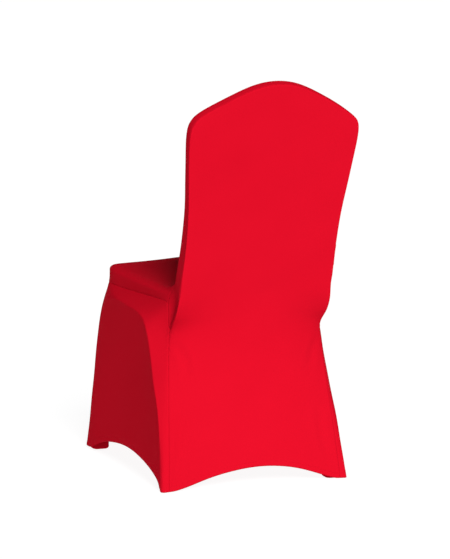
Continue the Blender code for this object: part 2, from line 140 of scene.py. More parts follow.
def lengths(points: Points) -> np.ndarray:
    """Length along a row of points, from the first one to each."""
    steps = np.linalg.norm(np.diff(np.asarray(points), axis=0), axis=1)
    return np.concatenate(((0.0,), np.cumsum(steps)))


def shares(points: Points) -> np.ndarray:
    """Running length along a row of points, from 0 to 1."""
    run = lengths(points)
    return run / run[-1]


def between(values: np.ndarray, run: np.ndarray, place: float) -> np.ndarray:
    """The vector at a place along a row whose own vectors stand at the lengths of the run."""
    return np.array([np.interp(place, run, values[:, axis]) for axis in range(3)])


def tree_of(points: Points) -> KDTree:
    """A search tree of these points."""
    tree = KDTree(len(points))
    for index, point in enumerate(points):
        tree.insert(point, index)
    tree.balance()
    return tree


def face_edges(faces: np.ndarray) -> tuple[np.ndarray, np.ndarray, np.ndarray]:
    """Start and end of each face's edges, and a number that says which edge it is."""
    start = faces.ravel()
    end = np.roll(faces, -1, axis=1).ravel()
    number = np.minimum(start, end).astype(np.int64) * (faces.max() + 1) + np.maximum(start, end)
    return start, end, number


def taken(things: bpy.types.bpy_prop_collection, name: str, width: int, kind: type) -> np.ndarray:
    """One value of each thing in a mesh, as rows of this width."""
    values = np.zeros(len(things) * width, dtype=kind)
    things.foreach_get(name, values)
    return values.reshape(-1, width)


def coons(bottom: Points, top: Points, left: Points, right: Points,
          across: Sequence[float], up: Sequence[float]) -> np.ndarray:
    """Lays a grid of points between four boundary rows.

    Args:
        bottom: The first row, from left to right.
        top: The last row, from left to right.
        left: The first column, from bottom to top.
        right: The last column, from bottom to top.
        across: Share of the width for each column.
        up: Share of the height for each row.

    Returns:
        The points as rows of columns.
    """
    bottom, top, left, right = (np.asarray(side, dtype=float) for side in (bottom, top, left, right))
    v = np.asarray(up)[:, None, None]
    u = np.asarray(across)[None, :, None]
    corners = ((1 - u) * (1 - v) * bottom[0] + u * (1 - v) * bottom[-1]
               + (1 - u) * v * top[0] + u * v * top[-1])
    grid = ((1 - v) * bottom[None] + v * top[None] + (1 - u) * left[:, None] + u * right[:, None]
            - corners)
    grid[0], grid[-1], grid[:, 0], grid[:, -1] = bottom, top, left, right
    return grid


def inset_loop(points: Points, depth: float | np.ndarray, normal: np.ndarray) -> np.ndarray:
    """Moves a row that ends on the centre line inward, across itself.

    Args:
        points: The row, up or forward on the sitter's left.
        depth: How far it moves, the same for all points or a column of depths.
        normal: The direction that the face between the two rows looks in.

    Returns:
        The moved row.
    """
    points = np.asarray(points, dtype=float)
    around = np.concatenate((points[:1], points, mirrored(points[-2])[None]))
    along = unit(around[2:] - around[:-2])
    return points + depth * np.cross(along, normal)


@dataclass(frozen=True)
class Patch:
    """A grid of cage points on one panel."""

    points: np.ndarray
    panel: Panel
    side: int = 1

    def grain(self) -> np.ndarray:
        """Length along the rows and columns at each point, in metres, for the knit to follow."""
        across = np.linalg.norm(np.diff(self.points, axis=1), axis=2)
        up = np.linalg.norm(np.diff(self.points, axis=0), axis=2)
        u = np.concatenate((np.zeros((len(across), 1)), np.cumsum(across, axis=1)), axis=1)
        v = np.concatenate((np.zeros((1, up.shape[1])), np.cumsum(up, axis=0)), axis=0)
        return np.stack((u, v), axis=2)


@dataclass
class Backrest:
    """The tall back: rear panel, rim, front face and the tail tucked in behind the seat."""

    lean: float = 0.300             # of the rear face, to the rear for each metre of height
    plane_y: float = 0.2518         # a point of the leaning plane
    plane_z: float = 0.450
    columns: Row = (0.0, 0.27, 0.54, 0.79, 0.95, 1.0)   # shares of the half width
    # seam_x, seam_y (None: on the leaning plane), seam_z, height of the centre line there
    rows: tuple[tuple, ...] = (
        (0.2140, 0.2520, 0.0020, 0.0455), (0.2120, 0.2460, 0.0450, 0.0850),
        (0.2080, 0.2330, 0.1100, 0.1450), (0.2040, 0.2190, 0.1800, 0.2100),
        (0.1990, 0.2040, 0.2500, 0.2720), (0.1950, 0.1900, 0.3100, 0.3250),
        (0.1900, 0.1830, 0.3680, 0.3720), (0.1945, 0.2280, 0.3960, 0.4030),
        (0.1945, 0.2480, 0.4280, 0.4330), (0.1930, 0.2513, 0.4480, 0.4500),
        (0.1900, None, 0.4650, 0.4680), (0.1875, None, 0.5300, 0.5350),
        (0.1868, None, 0.6100, 0.6300), (0.1940, None, 0.7000, 0.7400),
        (0.2052, None, 0.7900, 0.8500), (0.2072, None, 0.8440, 0.9370),
        (0.1985, None, 0.8605, 0.9478),
    )
    junction_row: int = 6           # where back panel, inside back and side panel meet
    lowest_rest_row: int = 9        # first row that rests on the chair's back
    valley_row: int = 10            # row beside the valley, the fold behind the seat
    relax_rounds: int = 400         # rounds of drawing the free cloth taut
    hem_mid_y: float = 0.2480
    # half width, seam height on the sitter's left and right
    crown: tuple[Row, ...] = (
        (0.0000, 0.9478, 0.9478), (0.0545, 0.9400, 0.9402), (0.1105, 0.9145, 0.9138),
        (0.1635, 0.8887, 0.8845), (0.1895, 0.8722, 0.8668), (0.1985, 0.8605, 0.8605),
    )
    # hem height on the sitter's left and right
    hem: tuple[Row, ...] = (
        (0.0455, 0.0455), (0.0390, 0.0435), (0.0275, 0.0330), (0.0095, 0.0135),
        (0.0018, 0.0020), (0.0020, 0.0020),
    )
    # depth of the rim, depth of the backrest at the centre line, overhang beyond the seam
    depths: tuple[Row, ...] = (
        (0.0580, 0.0560, 0.0000), (0.0500, 0.0570, 0.0000), (0.0400, 0.0560, 0.0010),
        (0.0310, 0.0500, 0.0020), (0.0300, 0.0400, 0.0025), (0.0300, 0.0320, 0.0025),
        (0.0300, 0.0310, 0.0025),
    )
    # share of the rim's depth, inset from the overhang's outline
    rim_loops: tuple[Row, ...] = ((0.25, 0.0018), (0.88, 0.0008), (1.00, 0.0090))
    valley_mid: Row = (0.0, 0.2000, 0.4680)
    valley_end: Row = (0.1780, 0.1970, 0.4680)
    # first loop x, y, z, second loop x, y, z
    tail_rows: tuple[Row, ...] = (
        (0.1895, 0.2360, 0.4660, 0.1865, 0.2040, 0.4670),
        (0.1830, 0.2290, 0.4480, 0.1750, 0.1970, 0.4490),
        (0.1820, 0.2200, 0.4310, 0.1740, 0.1920, 0.4330),
        (0.1865, 0.2070, 0.4010, 0.1830, 0.1920, 0.4020),
    )

    def on_plane(self, x: float, y: float | None, z: float) -> np.ndarray:
        """A point whose y may be left to the leaning plane."""
        return np.array((x, self.plane_y + self.lean * (z - self.plane_z) if y is None else y, z))

    def forward(self) -> np.ndarray:
        """Unit vector from the rear face straight to the front face."""
        return unit(np.array((0.0, -1.0, self.lean)))

    def seam(self) -> list[np.ndarray]:
        """The side seam from the hem up to the shoulder corner."""
        return [self.on_plane(x, y, z) for x, y, z, _ in self.rows]

    def crown_line(self, hand: int) -> list[np.ndarray]:
        """Seam of the crown from the centre line to the corner, on the left (0) or right (1)."""
        return [self.on_plane(row[0], None, row[1 + hand]) for row in self.crown]

    def relaxed(self, grid: np.ndarray) -> np.ndarray:
        """Draws y of the free cloth under the backrest to where its neighbours hold it."""
        for _ in range(self.relax_rounds):
            for row in range(1, self.lowest_rest_row):
                for column in range(1, grid.shape[1] - 1):
                    here = grid[row, column]
                    total = weight = 0.0
                    for pair in (((row, column - 1), (row, column + 1)),
                                 ((row - 1, column), (row + 1, column))):
                        reaches = [math.hypot(grid[at][0] - here[0], grid[at][2] - here[2])
                                   for at in pair]
                        for at, reach in zip(pair, reaches):
                            share = 1.0 / (reach * sum(reaches))
                            total += share * grid[at][1]
                            weight += share
                    here[1] = total / weight
        return grid

    def rear_face(self) -> np.ndarray:
        """Back panel from the hem up to the crown, from the right seam to the left seam."""
        seam = self.seam()
        middle = [self.on_plane(0.0, None, row[3]) for row in self.rows]
        middle[0][1] = self.hem_mid_y
        heights = np.array([point[2] for point in middle])
        up = (heights - heights[0]) / (heights[-1] - heights[0])
        halves = []
        for hand in (0, 1):
            hem = [np.array((share * seam[0][0],
                             (1 - share) * middle[0][1] + share * seam[0][1], heights_at[hand]))
                   for share, heights_at in zip(self.columns, self.hem)]
            halves.append(coons(hem, self.crown_line(hand), middle, seam, self.columns, up))
        left, right = halves
        return self.relaxed(np.concatenate((mirrored(right[:, :0:-1]), left), axis=1))

    def rim(self, hand: int) -> np.ndarray:
        """Seam and three loops round the edge, from the valley to the crown's middle."""
        outline = np.array(self.seam()[self.valley_row:] + self.crown_line(hand)[-2::-1])
        last = self.depths[-1:] * (len(outline) - len(self.depths))
        rims, _, overhangs = np.array(self.depths + last).T
        forward = self.forward()
        loops = [outline]
        for share, inset in self.rim_loops:
            loop = inset_loop(outline, (inset - overhangs)[:, None], -forward)
            loop += forward * (share * rims)[:, None]
            loop[-1, 0] = 0.0
            loops.append(loop)
        loops[1][0] = self.tail_rows[0][:3]
        loops[2][0] = self.tail_rows[0][3:]
        loops[3][0] = self.valley_end
        return np.array(loops)

    def valley(self) -> list[np.ndarray]:
        """Fold between seat and backrest, from the centre line to its end."""
        return [(1 - share) * np.array(self.valley_mid) + share * np.array(self.valley_end)
                for share in self.columns]

    def front_face(self, edge: np.ndarray) -> np.ndarray:
        """Front face from the valley up to the crown, centre line to rim."""
        rows = len(self.depths)
        top = edge[rows - 1:][::-1]
        middle = [np.array(self.valley_mid)]
        for (_, depth, _), row in zip(self.depths[1:], self.rows[self.valley_row + 1:]):
            middle.append(self.on_plane(0.0, None, row[3]) + self.forward() * depth)
        middle[-1] = top[0]
        return coons(self.valley(), top, middle, edge[:rows], self.columns, shares(middle))

    def tail(self, fold: Points) -> np.ndarray:
        """The tail from the valley's level down to the junction, against the given fold."""
        seam = self.seam()[self.valley_row:self.junction_row:-1]
        return np.array([(outer, np.array(loops[:3]), np.array(loops[3:]), np.array(inner))
                         for outer, loops, inner in zip(seam, self.tail_rows, fold)])

    def junction(self) -> np.ndarray:
        """Point where the back panel, the inside back and a side panel meet."""
        return self.seam()[self.junction_row]


@dataclass
class Seat:
    """The boxed seat: a flat-domed top, a rolled edge and a side band."""

    # seam x, y, z, then y and z of the centre line at that station
    rows: tuple[Row, ...] = (
        (0.1870, 0.1760, 0.4350, 0.2000, 0.4680),
        (0.1910, 0.1150, 0.4345, 0.1450, 0.4740),
        (0.1945, 0.0550, 0.4335, 0.0850, 0.4785),
        (0.1980, -0.0050, 0.4325, 0.0200, 0.4835),
        (0.2015, -0.0650, 0.4320, -0.0450, 0.4892),
        (0.2045, -0.1250, 0.4320, -0.1100, 0.4945),
        (0.2060, -0.1800, 0.4330, -0.1750, 0.4955),
        (0.1970, -0.2160, 0.4375, -0.2240, 0.4785),
    )
    # y of the front seam at each column
    front_y: Row = (-0.2385, -0.2380, -0.2365, -0.2330, -0.2260, -0.2160)
    front_seam_z: float = 0.4375
    band_top_front: float = 0.4695      # height of the band's top edge at the front
    band_top_rear: float = 0.4495       # and at the rear
    band_bulge: float = 0.0005
    band_end: Row = (0.1850, 0.1860, 0.4500)    # end of the top edge beside the backrest
    roll: float = 0.0130                # width of the rolled edge
    roll_rise: float = 0.0080           # its rise from the band

    def seam(self) -> np.ndarray:
        """Lower seam along the side, from the rear corner to the front corner."""
        return np.array([row[:3] for row in self.rows])

    def front_seam(self, columns: Row) -> np.ndarray:
        """Lower seam along the front, from the centre line to the corner."""
        width = self.rows[-1][0]
        return np.array([(share * width, y, self.front_seam_z)
                         for share, y in zip(columns, self.front_y)])

    def loops(self, back: Backrest) -> np.ndarray:
        """Seam, top edge of the band and inner edge of the roll, rear corner to front middle."""
        outline = np.concatenate((self.seam(), self.front_seam(back.columns)[-2::-1]))
        upward = np.array((0.0, 0.0, 1.0))
        band = inset_loop(outline, -self.band_bulge, upward)
        roll = inset_loop(outline, self.roll, upward)
        ahead = outline[:, 1] - outline[-1, 1]
        slope = (self.band_top_rear - self.band_top_front) / ahead[0]
        band[:, 2] = self.band_top_front + slope * ahead
        roll[:, 2] = band[:, 2] + self.roll_rise
        band[0] = self.band_end
        roll[0] = back.valley_end
        band[-1, 0] = roll[-1, 0] = 0.0
        return np.array((outline, band, roll))

    def top(self, roll: np.ndarray, back: Backrest) -> np.ndarray:
        """Top from the valley to the front, centre line to roll."""
        rows = len(self.rows)
        front = roll[rows - 1:][::-1]
        middle = [np.array((0.0, y, z)) for *_, y, z in self.rows]
        middle[-1] = front[0]
        return coons(back.valley(), front, middle, roll[:rows], back.columns, shares(middle))


@dataclass
class SidePanel:
    """One side: the strip over the legs and the seat's rail, and the web that fills them."""

    # edge x, y, z, crease x, y, z, pull, from the front hem over the seat's side to the rear hem
    # pull: how much further out and to the rear the crease stands on the sitter's left
    frame: tuple[Row, ...] = (
        (0.2195, -0.3380, 0.0065, 0.2210, -0.3180, 0.0060, 0.0000),
        (0.2195, -0.3240, 0.0500, 0.2215, -0.3000, 0.0520, 0.0000),
        (0.2200, -0.3030, 0.1200, 0.2215, -0.2780, 0.1220, 0.0000),
        (0.2195, -0.2820, 0.1900, 0.2210, -0.2560, 0.1920, 0.0000),
        (0.2190, -0.2650, 0.2600, 0.2205, -0.2380, 0.2620, 0.0000),
        (0.2185, -0.2500, 0.3200, 0.2200, -0.2200, 0.3220, 0.0000),
        (0.2165, -0.2260, 0.3720, 0.2190, -0.1960, 0.3680, 0.0010),
        (0.2125, -0.1990, 0.4120, 0.2180, -0.1660, 0.3980, 0.0060),
        (0.2150, -0.1600, 0.4190, 0.2175, -0.1300, 0.4060, 0.0140),
        (0.2140, -0.1120, 0.4180, 0.2175, -0.0950, 0.4055, 0.0200),
        (0.2125, -0.0580, 0.4160, 0.2175, -0.0500, 0.4020, 0.0240),
        (0.2110, -0.0040, 0.4145, 0.2175, -0.0030, 0.3990, 0.0260),
        (0.2090, 0.0480, 0.4125, 0.2175, 0.0400, 0.3960, 0.0280),
        (0.2060, 0.0950, 0.4105, 0.2175, 0.0730, 0.3890, 0.0280),
        (0.2020, 0.1380, 0.4030, 0.2190, 0.0970, 0.3750, 0.0280),
        (0.1995, 0.1540, 0.3800, 0.2190, 0.1140, 0.3570, 0.0260),
        (0.1985, 0.1660, 0.3520, 0.2190, 0.1280, 0.3300, 0.0240),
        (0.1995, 0.1780, 0.3050, 0.2193, 0.1390, 0.2980, 0.0220),
        (0.2050, 0.1940, 0.2480, 0.2205, 0.1600, 0.2450, 0.0180),
        (0.2130, 0.2110, 0.1800, 0.2225, 0.1970, 0.1780, 0.0100),
        (0.2215, 0.2285, 0.1100, 0.2265, 0.2190, 0.1100, 0.0040),
        (0.2295, 0.2440, 0.0450, 0.2312, 0.2330, 0.0450, 0.0010),
        (0.2330, 0.2545, 0.0012, 0.2350, 0.2430, 0.0014, 0.0000),
    )
    pull_way: Row = (0.366, 0.922, 0.130)       # direction of the pull
    pull_on_edge: float = 0.3                   # share of it that moves the outer edge too
    front_stations: int = 7                     # steps of the frame along the front
    top_stations: int = 8                       # and along the seat's side
    fold_point: Row = (0.1895, 0.1800, 0.4050)  # of the seam, between seat and backrest
    # x, y, z, from the front crease to the rear crease
    hem: tuple[Row, ...] = (
        (0.2210, -0.3180, 0.0060), (0.2225, -0.2870, 0.0070), (0.2215, -0.2150, 0.0360),
        (0.2210, -0.1250, 0.0520), (0.2220, -0.0300, 0.0600), (0.2240, 0.0600, 0.0540),
        (0.2275, 0.1460, 0.0430), (0.2325, 0.2235, 0.0255), (0.2350, 0.2430, 0.0014),
    )

    def strip(self, side: int, front: Points, seat: Points, rear: Points) -> np.ndarray:
        """Seam, outer edge and crease, from the front hem over to the rear hem."""
        seam = list(front) + list(seat) + [np.array(self.fold_point)] + list(rear)
        frame = np.array(self.frame)
        edge, crease = frame[:, :3], frame[:, 3:6]
        if side == 1:
            pull = frame[:, 6:] * np.array(self.pull_way)
            edge = edge + self.pull_on_edge * pull
            crease = crease + pull
        return np.array((seam, edge, crease))

    def web(self, crease: np.ndarray) -> np.ndarray:
        """Web from the hem up to the crease, front to rear."""
        last_top = self.front_stations + self.top_stations
        front = crease[:self.front_stations + 1]
        top = crease[self.front_stations:last_top + 1]
        rear = crease[last_top:][::-1]
        hem = np.array(self.hem)
        return coons(hem, top, front, rear, shares(hem), shares(front))


@dataclass
class FrontSkirt:
    """The front, from the seat's lower seam down to the arched hem."""

    # seam_x, seam_y, seam_z, y and z of the centre line
    rows: tuple[Row, ...] = (
        (0.2035, -0.3400, 0.0060, -0.3320, 0.0450), (0.2030, -0.3270, 0.0500, -0.3180, 0.0900),
        (0.2025, -0.3060, 0.1200, -0.3000, 0.1500), (0.2020, -0.2850, 0.1900, -0.2820, 0.2150),
        (0.2015, -0.2690, 0.2600, -0.2670, 0.2800), (0.2010, -0.2560, 0.3200, -0.2550, 0.3350),
        (0.2005, -0.2400, 0.3750, -0.2450, 0.3850), (0.1970, -0.2160, 0.4375, -0.2385, 0.4375),
    )
    hem_z: Row = (0.0450, 0.0420, 0.0320, 0.0125, 0.0060, 0.0060)

    def seam(self) -> list[np.ndarray]:
        """Side seam from the hem up to the seat's corner."""
        return [np.array(row[:3]) for row in self.rows]

    def face(self, seat_seam: np.ndarray, columns: Row) -> np.ndarray:
        """Panel from the hem up to the seat's seam, centre line to side seam."""
        seam = self.seam()
        middle = [np.array((0.0, row[3], row[4])) for row in self.rows]
        hem = [np.array((share * seam[0][0], (1 - share) * middle[0][1] + share * seam[0][1], z))
               for share, z in zip(columns, self.hem_z)]
        return coons(hem, seat_seam, middle, seam, columns, shares(middle))


@dataclass
class Cage:
    """The whole skin's coarse cage, from the parts of the chair that it is drawn over."""

    back: Backrest
    seat: Seat
    sides: SidePanel
    front: FrontSkirt
    fold_sharpness: float = 0.5         # along the webs' edges
    seat_seam_sharpness: float = 0.6    # along the seat's side seams
    rim_sharpness: float = 0.6          # along the backrest's seam, from the seat up
    band_sharpness: float = 0.4         # along the top edge of the seat's band

    def strip(self, side: int) -> np.ndarray:
        """One side's strip, from the front hem over to the rear hem."""
        rear = self.back.seam()[self.back.junction_row::-1]
        return self.sides.strip(side, self.front.seam(), self.seat.seam()[-2::-1], rear)

    def folds(self) -> list[tuple[np.ndarray, float]]:
        """Rows of cage points that stay crisp, each with its sharpness."""
        found = []
        for hand, side in enumerate((1, -1)):
            rows = ((self.back.rim(hand)[0], self.rim_sharpness),
                    (self.strip(side)[-1], self.fold_sharpness),
                    (self.seat.seam(), self.seat_seam_sharpness),
                    (self.seat.loops(self.back)[1], self.band_sharpness))
            found += [(in_frame(row, side), sharpness) for row, sharpness in rows]
        return found

    def sharpen(self, mesh: bpy.types.Mesh) -> None:
        """Marks the merged cage's edges along the folds."""
        weights = {}
        for row, sharpness in self.folds():
            keys = [tuple(np.round(point, DECIMALS)) for point in row]
            for pair in zip(keys, keys[1:]):
                weights[frozenset(pair)] = sharpness
        places = [tuple(np.round(np.array(vertex.co, dtype=float), DECIMALS))
                  for vertex in mesh.vertices]
        values = [weights.get(frozenset(places[end] for end in edge.vertices), 0.0)
                  for edge in mesh.edges]
        mesh.attributes.new("crease_edge", "FLOAT", "EDGE").data.foreach_set("value", values)
        log.info("%d crisp cage edges", sum(value > 0.0 for value in values))

    def patches(self) -> list[Patch]:
        """Every grid of the cage."""
        columns = self.back.columns
        seat_seam = self.seat.seam()
        seats = self.seat.loops(self.back)
        fold = (self.back.valley_end, self.seat.band_end, seat_seam[0], self.sides.fold_point)
        tail = self.back.tail(fold)
        tip = np.repeat(self.back.junction()[None, None], tail.shape[1], axis=1)
        skirt = self.front.face(self.seat.front_seam(columns), columns)
        found = [Patch(self.back.rear_face(), Panel.BACK)]
        for hand, side, side_panel in ((0, 1, Panel.SIDE_LEFT), (1, -1, Panel.SIDE_RIGHT)):
            rim = self.back.rim(hand)
            strip = self.strip(side)
            found += [
                Patch(rim, Panel.INSIDE, side),
                Patch(self.back.front_face(rim[-1]), Panel.INSIDE, side),
                Patch(np.concatenate((tail, tip)), Panel.INSIDE, side),
                Patch(seats, Panel.SEAT, side),
                Patch(self.seat.top(seats[-1], self.back), Panel.SEAT, side),
                Patch(strip, side_panel, side),
                Patch(self.sides.web(strip[-1]), side_panel, side),
                Patch(skirt, Panel.FRONT, side),
            ]
        return found

    def mesh(self) -> bpy.types.Mesh:
        """One joined mesh of all patches, faces outward, each face marked with its panel."""
        points: list[np.ndarray] = []
        faces: list[tuple[int, ...]] = []
        marks: list[int] = []
        grain: list[np.ndarray] = []
        first = 0
        for patch in self.patches():
            placed, lay = in_frame(patch.points, patch.side), patch.grain()
            rows, columns = placed.shape[:2]
            index = first + np.arange(rows * columns).reshape(rows, columns)
            first += rows * columns
            points.append(placed.reshape(-1, 3))
            for row in range(rows - 1):
                for column in range(columns - 1):
                    at = ((row, column), (row, column + 1), (row + 1, column + 1), (row + 1, column))
                    faces.append(tuple(int(index[corner]) for corner in at))
                    grain += [lay[corner] for corner in at]
                    marks.append(PANELS.index(patch.panel))
        mesh = bpy.data.meshes.new("skin_cage")
        mesh.from_pydata(np.concatenate(points).tolist(), [], faces)
        mesh.uv_layers.new(name="grain").data.foreach_set("uv", np.array(grain).ravel())
        mesh.polygons.foreach_set("material_index", marks)
        return mesh


def only(thing: bpy.types.Object) -> None:
    """Leaves one object selected and active."""
    bpy.ops.object.select_all(action="DESELECT")
    thing.select_set(True)
    bpy.context.view_layer.objects.active = thing


@contextmanager
def edit_mode(thing: bpy.types.Object) -> Iterator[None]:
    """Edit mode on one object, with all of its mesh selected."""
    only(thing)
    bpy.ops.object.mode_set(mode="EDIT")
    bpy.ops.mesh.select_all(action="SELECT")
    yield
    bpy.ops.object.mode_set(mode="OBJECT")


def apply_modifier(thing: bpy.types.Object, kind: str, **settings: object) -> None:
    """Adds a modifier with these settings and applies it."""
    only(thing)
    modifier = thing.modifiers.new(kind.lower(), kind)
    for name, value in settings.items():
        setattr(modifier, name, value)
    bpy.ops.object.modifier_apply(modifier=modifier.name)


def link(name: str, data: bpy.types.ID) -> bpy.types.Object:
    """A linked object of this mesh, camera or light."""
    thing = bpy.data.objects.new(name, data)
    bpy.context.scene.collection.objects.link(thing)
    return thing


@dataclass
class Crease:
    """A soft trough or ridge along a given path."""

    path: tuple[Row, ...]       # points in the frame, on or near the cloth
    panels: tuple[Panel, ...]
    width: float                # half width of the trough
    depth: float                # along the cloth's normal, below 0 for a ridge
    shoulder: float = 0.45      # height of the ridges beside it, as a share of the depth
    ridge_place: float = 1.9    # how far off the path they stand, in half widths of the trough
    ridge_width: float = 0.8    # their own half width, in half widths of the trough
    fade: float = 0.35          # share of the length that runs out at each end

    def relief(self, points: np.ndarray) -> np.ndarray:
        """How far each point moves along its normal."""
        path = np.array(self.path)
        run = shares(path)
        nearest = np.full(len(points), np.inf)
        place = np.zeros(len(points))
        for start, end, low, high in zip(path, path[1:], run, run[1:]):
            along = end - start
            share = np.clip((points - start) @ along / (along @ along), 0.0, 1.0)
            gap = np.linalg.norm(points - start - share[:, None] * along, axis=1)
            closer = gap < nearest
            nearest = np.where(closer, gap, nearest)
            place = np.where(closer, low + share * (high - low), place)
        ends = np.clip(np.minimum(place, 1.0 - place) / self.fade, 0.0, 1.0)
        ends = ends * ends * (3.0 - 2.0 * ends)
        across = nearest / self.width
        beside = (across - self.ridge_place) / self.ridge_width
        profile = -np.exp(-across**2) + self.shoulder * np.exp(-beside**2)
        return self.depth * ends * profile


@dataclass
class Puckers:
    """A run of small folds that a tight seam draws up across itself."""

    between: tuple[Panel, Panel]
    low: float                  # reach of the run in height
    high: float
    pitch: float
    depth: float
    reach: float                # how far from the seam they run out
    slant: float = 0.0          # how far they lean as they leave the seam
    # size, turns in one pitch and phase of the waves that shift the folds along the seam
    shifts: tuple[Row, ...] = ((0.9, 0.31, 0.0), (0.6, 0.173, 1.1))
    # mean, size, turns in one pitch and phase of the folds' strength
    strength: Row = (0.72, 0.28, 0.237, 0.6)

    def relief(self, points: np.ndarray, gap: np.ndarray) -> np.ndarray:
        """How far each point moves along its normal, given its distance to the seam."""
        height = points[:, 2]
        inside = np.clip((height - self.low) / self.pitch, 0.0, 1.0)
        inside *= np.clip((self.high - height) / self.pitch, 0.0, 1.0)
        turn = 2.0 * math.pi / self.pitch
        shift = sum(size * np.sin(turn * height * rate + phase) for size, rate, phase in self.shifts)
        wave = np.sin(turn * (height + self.slant * gap) + shift)
        mean, size, rate, phase = self.strength
        strength = mean + size * np.sin(turn * height * rate + phase)
        return self.depth * inside * strength * wave * np.exp(-gap / self.reach)


@dataclass
class Relief:
    """What sewing and tension raise and draw in on the smooth skin."""

    seam_depth: float = 0.0004
    seam_width: float = 0.0022
    seam_swell: float = 0.00015     # the allowances under the cloth, beside the seam
    swell_place: float = 0.0038
    hem_swell: float = 0.0005
    hem_step: float = 18.0          # how suddenly the hem's swell ends
    stitch_groove: float = 0.0005
    groove_width: float = 0.0011
    drift_depth: float = 0.0004
    # radians a metre in x, y and z, and phase, of the slow waves
    drift_waves: tuple[Row, ...] = (
        (31.0, 0.0, 11.0, 0.4), (0.0, -17.0, 23.0, 1.3), (29.0, -13.0, 57.0, 2.1),
    )
    last_wave: float = 0.6          # size of the last of them beside the first two
    creases: tuple[Crease, ...] = ()
    puckers: tuple[Puckers, ...] = ()

    def drift(self, points: np.ndarray) -> np.ndarray:
        """Slow unevenness of cloth that was pulled on by hand."""
        first, second, last = (points @ np.array(rates) + phase for *rates, phase in self.drift_waves)
        return self.drift_depth * (np.sin(first) * np.cos(second) + self.last_wave * np.sin(last))

    def total(self, skin: Skin) -> np.ndarray:
        """Sum of all relief at the skin's points, in metres along the normal."""
        move = self.drift(skin.points)
        move -= self.seam_depth * np.exp(-(skin.seam_gap / self.seam_width) ** 2)
        beside = (skin.seam_gap - self.swell_place) / self.seam_width
        move += self.seam_swell * np.exp(-beside ** 2)
        move += self.hem_swell / (1.0 + np.exp((skin.hem_gap / HEM_HEIGHT - 1.0) * self.hem_step))
        groove = (skin.hem_gap - STITCH_LINE * HEM_HEIGHT) / self.groove_width
        move -= self.stitch_groove * np.exp(-groove ** 2)
        for crease in self.creases:
            touched = skin.on_panels(crease.panels)
            move[touched] += crease.relief(skin.points[touched])
        for pucker in self.puckers:
            pair = {PANELS.index(panel) for panel in pucker.between}
            touched = np.array([set(label) == pair for label in skin.seam_pairs])[skin.seam_label]
            touched &= skin.on_panels(pucker.between)
            move[touched] += pucker.relief(skin.points[touched], skin.seam_gap[touched])
        return move


class Skin:
    """The whole cover as one smooth skin: points, normals, faces, and distances to its edges."""

    seam_steps = 6              # points laid along each seam edge to measure distances from

    def __init__(self, cage: Cage, levels: int) -> None:
        """Smooths the cage and measures it.

        Args:
            cage: The coarse cage.
            levels: Rounds of smoothing.
        """
        skin = link("skin", cage.mesh())
        with edit_mode(skin):
            bpy.ops.mesh.remove_doubles(threshold=MERGE)
            bpy.ops.mesh.normals_make_consistent(inside=False)
        self.face_out(skin.data)
        cage.sharpen(skin.data)
        apply_modifier(skin, "SUBSURF", levels=levels, render_levels=levels)
        self.read(skin.data)
        bpy.data.objects.remove(skin)
        self.measure()

    @staticmethod
    def face_out(mesh: bpy.types.Mesh) -> None:
        """Turns the whole skin round if its back panel looks into the chair."""
        back = PANELS.index(Panel.BACK)
        rear = sum(face.normal.y for face in mesh.polygons if face.material_index == back)
        if rear < 0:
            mesh.flip_normals()

    def read(self, mesh: bpy.types.Mesh) -> None:
        """Takes the mesh's arrays."""
        self.points = taken(mesh.vertices, "co", 3, float)
        self.normals = taken(mesh.vertex_normals, "vector", 3, np.float32).astype(float)
        self.faces = taken(mesh.loops, "vertex_index", 1, np.int32).reshape(-1, 4)
        self.marks = taken(mesh.polygons, "material_index", 1, np.int32).ravel()
        self.grain = taken(mesh.uv_layers["grain"].data, "uv", 2, np.float32).reshape(-1, 4, 2)

    def measure(self) -> None:
        """Finds seams and hems, and each point's distance to them."""
        start, end, key = face_edges(self.faces)
        owner = np.repeat(np.arange(len(self.faces)), 4)
        order = np.argsort(key, kind="stable")
        first = np.flatnonzero(np.concatenate(((True,), np.diff(key[order]) > 0)))
        many = np.diff(np.concatenate((first, (len(key),))))
        lone = order[first[many == 1]]
        shared = order[first[many == 2]]
        other = order[first[many == 2] + 1]
        marks = np.stack((self.marks[owner[shared]], self.marks[owner[other]]), axis=1)
        sewn = marks[:, 0] != marks[:, 1]
        self.hem_edges = np.stack((start[lone], end[lone]), axis=1)
        self.seam_edges = np.stack((start[shared[sewn]], end[shared[sewn]]), axis=1)
        pairs = np.sort(marks[sewn], axis=1)
        self.seam_pairs, labels = np.unique(pairs, axis=0, return_inverse=True)
        self.seam_gap, nearest = self.distance(self.seam_edges)
        self.seam_label = labels.ravel()[nearest]
        self.hem_gap, _ = self.distance(self.hem_edges)

    def distance(self, edges: np.ndarray) -> tuple[np.ndarray, np.ndarray]:
        """Distance of every point to these edges, and which edge is nearest."""
        starts, ends = self.points[edges[:, 0]][:, None], self.points[edges[:, 1]][:, None]
        steps = (np.arange(self.seam_steps) / self.seam_steps)[:, None]
        tree = tree_of((starts + (ends - starts) * steps).reshape(-1, 3))
        gaps = np.empty(len(self.points))
        nearest = np.empty(len(self.points), dtype=np.int64)
        for index, point in enumerate(self.points):
            _, nearest[index], gaps[index] = tree.find(point)
        return gaps, nearest // self.seam_steps

    def on_panels(self, panels: Sequence[Panel]) -> np.ndarray:
        """Which points touch one of these panels."""
        wanted = np.isin(self.marks, [PANELS.index(panel) for panel in panels])
        touched = np.zeros(len(self.points), dtype=bool)
        touched[self.faces[wanted].ravel()] = True
        return touched

    def raise_relief(self, relief: Relief) -> None:
        """Moves the points along their normals by the relief."""
        self.points = self.points + self.normals * relief.total(self)[:, None]


